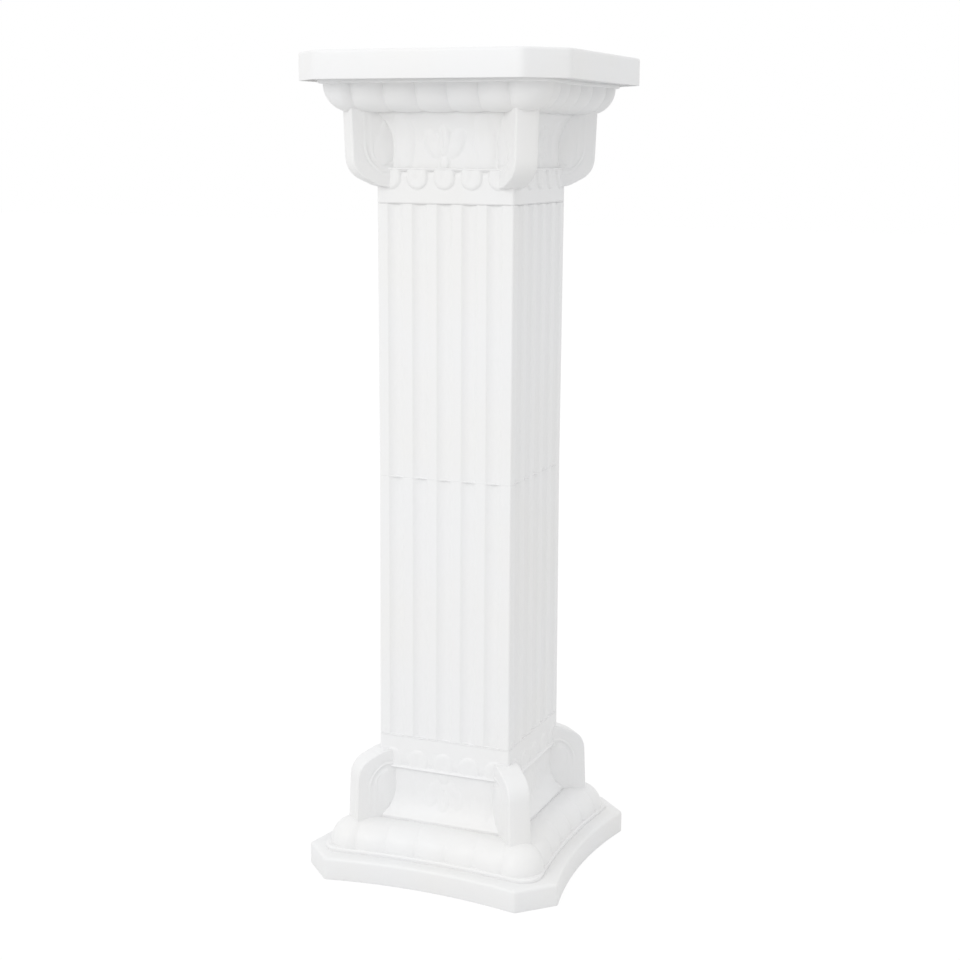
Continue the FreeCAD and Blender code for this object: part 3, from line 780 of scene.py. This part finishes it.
def build_block(node, body, turned, worn):
    """All the mouldings of one end block, the right way up or turned over. Worn is the share of
    the full relief that shows."""
    def placed(part):
        points, faces = part
        return (upside_down(np.asarray(points).reshape(-1, 3)) if turned else points), faces

    name = node.split("_")[0]
    foot = [moulding(plinth_plan, plinth_profile), moulding(bead_plan, bead_profile)]
    neck = [collar_wall(worn), moulding(ledge_plan, ledge_profile)] + collar_ribs()
    plinth = make_piece(name + "_plinth", [placed(part) for part in foot], body, PLASTIC)
    make_piece(name + "_lobes", [placed(lobed_moulding(worn))], body, PLASTIC, crease=60)
    make_piece(name + "_bell", [placed(bell(worn))], body, PLASTIC, crease=50)
    make_piece(name + "_collar", [placed(part) for part in neck], body, PLASTIC, crease=50)
    grid = tube_grid(*SCROLL.shape[:2])
    for corner in range(4):
        make_piece(f"{name}_scroll_{corner}", [placed((at_corner(SCROLL, corner), grid))],
                   body, PLASTIC, crease=50)
    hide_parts(node)


build_block("base_block", "base", turned=False, worn=0.5)
build_block("capital_block", "capital", turned=True, worn=1.0)

# %% [markdown]
# ## Shaft sections
# Each section is a square tube with five round flutes to a side, a little wider at its outer end.
# The flutes stop dead at both ends, so each seam shows a scalloped line. The section's plan is
# drawn once, from corner to corner, and carried up while it narrows.

# %% Flutes
SHAFT_WALL = 2.4
SHAFT_NARROW = 77.2
FLUTE_PITCH = 28.4
FLUTE_HALF = 9.0
FLUTE_DEPTH = 3.3
FLUTE_LIP = 0.22
FLUTE_END = 1.0
RIM_EASE = 0.3
RIM_HIGH = 0.6


def flute_depth(x):
    """Depth of the wall's surface below the flat, at x along a side: a round hollow with its
    lips eased, as half of (hollow + sqrt(hollow^2 + lip^2))."""
    near = np.abs(from_nearest(x, FLUTE_PITCH))
    radius = (FLUTE_HALF ** 2 + FLUTE_DEPTH ** 2) / (2 * FLUTE_DEPTH)
    hollow = np.sqrt(np.clip(radius ** 2 - near ** 2, 0, None)) - (radius - FLUTE_DEPTH)
    return 0.5 * (hollow + np.sqrt(hollow ** 2 + FLUTE_LIP ** 2)) * (near < FLUTE_HALF + 3)


def quarter_turn(end, reach):
    """The side of a quarter circle: 0 at the section's end and 1 at that reach from it."""
    return np.sqrt(np.clip(1 - (1 - np.clip(end / reach, 0, 1)) ** 2, 0, 1))


print("a flute is", flute_depth(np.array([0.0, 5.0, 9.0])).round(2), "mm deep, middle to lip")

# %% Shaft


def shaft_section(name, body, node, turned):
    """Outer wall up, over the rim, and the inner wall down, in one closed ring."""
    low, tall = SHAFT_LOW[2], SHAFT_HIGH[2] - SHAFT_LOW[2]
    ends = np.array([0, 0.12, 0.35, 0.7, 1.1, 1.6, 2.2, 3.0])
    rise = np.r_[ends, np.linspace(4, tall - 4, 24), tall - ends[::-1]]
    plan = square_plan(COLLAR_HALF, CORNER_ROUND, 0.7)
    normal, along, flat = along_sides(plan)
    end = np.minimum(rise, tall - rise)
    depth = quarter_turn(end, FLUTE_END)[:, None] * (flute_depth(along) * flat)[None]
    taper = ((COLLAR_HALF - SHAFT_NARROW) * rise / tall)[:, None]
    eased_end = RIM_EASE * (1 - quarter_turn(end, RIM_HIGH))[:, None]
    inset = np.concatenate([taper + eased_end + depth,
                            taper[::-3] + SHAFT_WALL + depth[::-3]])
    level = plan[None] - inset[..., None] * normal[None]
    height = low + np.r_[rise, rise[::-3]]
    points = np.concatenate([level, np.broadcast_to(height[:, None, None],
                                                    level.shape[:2] + (1,))], -1).reshape(-1, 3)
    section = make_piece(name, [(upside_down(points) if turned else points,
                                 closed_grid(len(height), len(plan)))], body, PLASTIC, crease=50)
    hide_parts(node)


shaft_section("shaft_lower", "lower_section", "lower_shaft", turned=False)
shaft_section("shaft_upper", "upper_section", "upper_shaft", turned=True)

# %% [markdown]
# ## Joiner sleeves
# Each seam hides a square sleeve that keeps two pieces in line, with a flange round its middle
# that rests in a seat. It is seen when the column is taken apart. One profile carried round a
# square with rounded corners makes it, a little duller and rougher than the faces outside.

# %% Joiners
JOINER_ROUND = 8.0
JOINER_WALL = 2.0
JOINER_EDGE = 0.4
FLANGE_REACH = 1.5
FLANGE_HALF = 1.5


def joiner_sleeve(node, body):
    """A ring whose profile is the sleeve's wall with the flange standing out of its middle."""
    low, high = node_box(node)
    middle, skin, bore = (low[2] + high[2]) / 2, FLANGE_REACH, FLANGE_REACH + JOINER_WALL
    flange_low, flange_high = middle - FLANGE_HALF, middle + FLANGE_HALF
    plan = square_plan(high[0], JOINER_ROUND + FLANGE_REACH, 1.2)
    profile = eased([
        (skin, low[2], JOINER_EDGE), (skin, flange_low, 0), (0, flange_low, JOINER_EDGE),
        (0, flange_high, JOINER_EDGE), (skin, flange_high, 0), (skin, high[2], JOINER_EDGE),
        (bore, high[2], JOINER_EDGE), (bore, low[2], JOINER_EDGE)])
    sleeve = make_piece(node + "_sleeve", [moulding(plan, profile)], body, INSIDE)
    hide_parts(node)


joiner_sleeve("base_joiner", "base")
joiner_sleeve("middle_joiner", "lower_section")
joiner_sleeve("capital_joiner", "upper_section")

# %% [markdown]
# ## Lid
# The lid is a shallow tray turned over, with straight sides and cut corners. It is one profile
# carried round its plan, with the flat top and its underside filled in to the middle, and six
# crossed ribs under the top.

# %% Lid
LID_WALL = 1.9
LID_SHEET = 2.4
LID_CUT = 38.0
LID_SHELF = 30.0
LID_HALF = LID_HIGH[0]
LID_TOP, LID_FOOT = LID_HIGH[2], LID_LOW[2]


def tray(plan, profile):
    """A profile carried round a plan, whose first and last ring then shrink to the middle."""
    points = carried_round(plan, profile)
    shrink = np.array([0.75, 0.5, 0.25, 0.02])[:, None, None] * [1, 1, 0] + np.array([0, 0, 1])
    return np.concatenate([(points[:1] * shrink)[::-1], points, points[-1:] * shrink])


lid_side = np.array([[-(LID_HALF - LID_CUT), -LID_HALF], [LID_HALF - LID_CUT, -LID_HALF]])
lid_plan = softened(spaced(four_sides(lid_side), 0.9), 4)
lid_plan *= LID_HALF / lid_plan.max()
lid_rows = tray(lid_plan, eased([
    (LID_SHELF, LID_TOP, 0), (0, LID_TOP, 3.6), (0, LID_FOOT, 0.8), (LID_WALL, LID_FOOT, 0.5),
    (LID_WALL, LID_TOP - LID_SHEET, 1.2), (LID_SHELF, LID_TOP - LID_SHEET, 0)], steps=7))
print("lid", lid_rows.shape)

# %% Lid's ribs
LID_RIB_PITCH = 64.0
LID_RIB_REACH = 133.0
LID_RIB_HALF = 0.95
LID_RIB_DEEP = 8.0

lid_ribs = []
for number in (-1, 0, 1):
    place = number * LID_RIB_PITCH
    corners, faces = box_grid(
        (-LID_RIB_REACH, place - LID_RIB_HALF, LID_TOP - LID_SHEET - LID_RIB_DEEP),
        (LID_RIB_REACH, place + LID_RIB_HALF, LID_TOP - LID_SHEET / 2))
    lid_ribs += [(corners, faces), (corners[:, [1, 0, 2]], faces)]
lid = make_piece("lid", [(lid_rows, tube_grid(*lid_rows.shape[:2]))] + lid_ribs, "lid", PLASTIC)
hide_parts("top_lid")

# %% [markdown]
# ## Floor, light and camera
# A plain white floor and a white world stand for the studio. The key is a large soft light from
# the front left and a little above, which leaves the right-hand sides a clear step darker, and
# the world fills the shadows. The floor looks white to the camera but still takes the shadow.

# %% Floor and world
FLOOR_TONE = (0.74, 0.74, 0.74, 1)
FLOOR_WHITE = 1.05
FLOOR_SHARE = 0.88
SKY_WHITE = (1, 1, 1, 1)
SKY_LIGHT = 1.0


def seen_directly(tree):
    """1 for a ray that shows this surface to the camera, straight or by way of gloss or glass."""
    camera_ray, glossy_ray, clear_ray = (
        Shade(tree).node("ShaderNodeLightPath", out=output)
        for output in ("Is Camera Ray", "Is Glossy Ray", "Is Transmission Ray"))
    return camera_ray.or_more(glossy_ray).or_more(clear_ray)


def studio_floor():
    """A plain floor, mixed from a dull surface that takes shadow and a white glow that is only
    there for what shows it."""
    bpy.ops.mesh.primitive_plane_add(size=30)
    floor = bpy.context.object
    floor.name = "floor"
    white = bpy.data.materials.new("studio_floor")
    white.use_nodes = True
    tree = white.node_tree
    shader = tree.nodes["Principled BSDF"]
    shader.inputs["Base Color"].default_value = FLOOR_TONE
    shader.inputs["Roughness"].default_value = 0.9
    glow = Shade(tree).node("ShaderNodeEmission", Strength=FLOOR_WHITE)
    either = glow.node("ShaderNodeMixShader", i0=seen_directly(tree) * FLOOR_SHARE,
                       i1=Shade(tree, shader.outputs[0]), i2=glow)
    tree.links.new(either.socket, tree.nodes["Material Output"].inputs["Surface"])
    floor.data.materials.append(white)


def studio_world():
    """The light that the world gives, and apart from it the white that shows behind."""
    world = bpy.data.worlds.new("studio")
    bpy.context.scene.world = world
    world.use_nodes = True
    tree = world.node_tree
    light = tree.nodes["Background"]
    light.inputs["Color"].default_value = SKY_WHITE
    light.inputs["Strength"].default_value = SKY_LIGHT
    behind = Shade(tree).node("ShaderNodeBackground", Color=SKY_WHITE)
    either = behind.node("ShaderNodeMixShader", i0=seen_directly(tree),
                         i1=Shade(tree, light.outputs[0]), i2=behind)
    tree.links.new(either.socket, tree.nodes["World Output"].inputs["Surface"])


studio_floor()
studio_world()
print("floor", FLOOR_TONE[:3], "world light", SKY_LIGHT)

# %% Key light
KEY_PLACE = Vector((-0.9, -2.6, 1.9))
KEY_AIM = Vector((0, 0, 0.45))
KEY_SIZE = 1.2
KEY_POWER = 17.5

key = bpy.data.lights.new("key", "AREA")
key.size, key.energy = KEY_SIZE, KEY_POWER
lamp = bpy.data.objects.new("key", key)
lamp.location = KEY_PLACE
lamp.rotation_euler = (KEY_AIM - KEY_PLACE).to_track_quat("-Z", "Y").to_euler()
bpy.context.scene.collection.objects.link(lamp)
print("key light", round((KEY_AIM - KEY_PLACE).length, 2), "m from the column's middle")

# %% Camera
# The photograph's own viewpoint: place, three axes and focal length.
EYE = Vector((0.728776, -1.764383, 0.805425))
RIGHT = Vector((0.925729, 0.378145, 0.005634))
UP = Vector((-0.076926, 0.173693, 0.981791))
AHEAD = Vector((-0.370281, 0.909306, -0.189881))

lens = bpy.data.cameras.new("camera")
lens.lens, lens.sensor_width = 64.945, 36.0
camera = bpy.data.objects.new("camera", lens)
camera.matrix_world = (Matrix.Translation(EYE)
                       @ Matrix((RIGHT, UP, -AHEAD)).transposed().to_4x4())
bpy.context.scene.collection.objects.link(camera)
bpy.context.scene.camera = camera
bpy.context.scene.view_settings.view_transform = "Standard"
print("camera", round(EYE.length, 2), "m from the column's foot")
